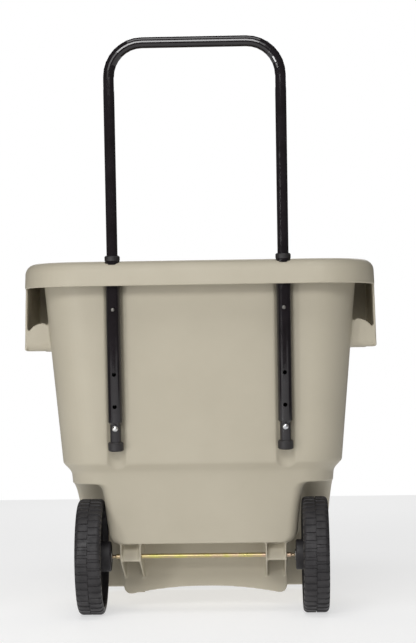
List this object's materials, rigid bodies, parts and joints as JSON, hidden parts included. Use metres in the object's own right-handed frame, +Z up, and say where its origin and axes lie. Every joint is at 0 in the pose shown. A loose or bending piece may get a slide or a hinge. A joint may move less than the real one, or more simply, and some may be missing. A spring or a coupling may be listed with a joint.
{
  "type": "yard cart",
  "caption": "Two-wheeled moulded resin yard cart with a tapered open tub, side lifting ears and a telescoping steel push handle.",
  "frame": {"origin": "on the ground under the middle of the cart's bounding box", "axes": "+Z up, +Y from the handle and wheels towards the front feet, +X to the cart's right when pushing it"},
  "size_m": [0.62, 0.5907, 0.9995],
  "materials": {
    "tan_resin": "satin moulded polyethylene, fine texture",
    "black_painted_steel": "gloss black enamel",
    "black_plastic": "satin moulded",
    "wheel_plastic": "matt moulded, worn on the lugs",
    "yellow_zinc": "yellow chromate on drawn steel",
    "bright_zinc": "bright zinc plate"
  },
  "bodies": {
    "cart": {"tub": "tan_resin", "axle": "yellow_zinc", "guide_tube_left": "black_painted_steel", "guide_collar_left": "black_plastic", "guide_end_cap_left": "black_plastic", "guide_bolt_left": "bright_zinc", "guide_washer_left": "bright_zinc", "guide_nut_left": "bright_zinc", "inner_washer_left": "bright_zinc", "outer_washer_left": "bright_zinc", "axle_cap_left": "bright_zinc", "guide_tube_right": "black_painted_steel", "guide_collar_right": "black_plastic", "guide_end_cap_right": "black_plastic", "guide_bolt_right": "bright_zinc", "guide_washer_right": "bright_zinc", "guide_nut_right": "bright_zinc", "inner_washer_right": "bright_zinc", "outer_washer_right": "bright_zinc", "axle_cap_right": "bright_zinc"},
    "handle": {"handle_bar": "black_painted_steel", "handle_glide_left": "black_plastic", "snap_spring_left": "bright_zinc", "handle_glide_right": "black_plastic", "snap_spring_right": "bright_zinc"},
    "left_wheel": {"wheel_left": "wheel_plastic"},
    "right_wheel": {"wheel_right": "wheel_plastic"},
    "left_button": {"snap_button_left": "bright_zinc"},
    "right_button": {"snap_button_right": "bright_zinc"}
  },
  "joints": [
    {"name": "handle_slide", "type": "slide", "parent": "cart", "child": "handle", "axis": [0, -0.0854, 0.9963], "range_m": [-0.168, 0], "deforming": ["snap_button_left", "snap_spring_left", "snap_button_right", "snap_spring_right"]},
    {"name": "left_wheel_spin", "type": "hinge", "parent": "cart", "child": "left_wheel", "pos_m": [-0.198, -0.15889, 0.1016], "axis": [1, 0, 0], "continuous": true},
    {"name": "right_wheel_spin", "type": "hinge", "parent": "cart", "child": "right_wheel", "pos_m": [0.198, -0.15889, 0.1016], "axis": [1, 0, 0], "continuous": true},
    {"name": "left_button_press", "type": "slide", "parent": "handle", "child": "left_button", "axis": [0, 0.9963, 0.0854], "range_m": [0, 0.0028], "stiffness_N_per_m": 1500, "deforming": ["snap_spring_left"]},
    {"name": "right_button_press", "type": "slide", "parent": "handle", "child": "right_button", "axis": [0, 0.9963, 0.0854], "range_m": [0, 0.0028], "stiffness_N_per_m": 1500, "deforming": ["snap_spring_right"]}
  ]
}
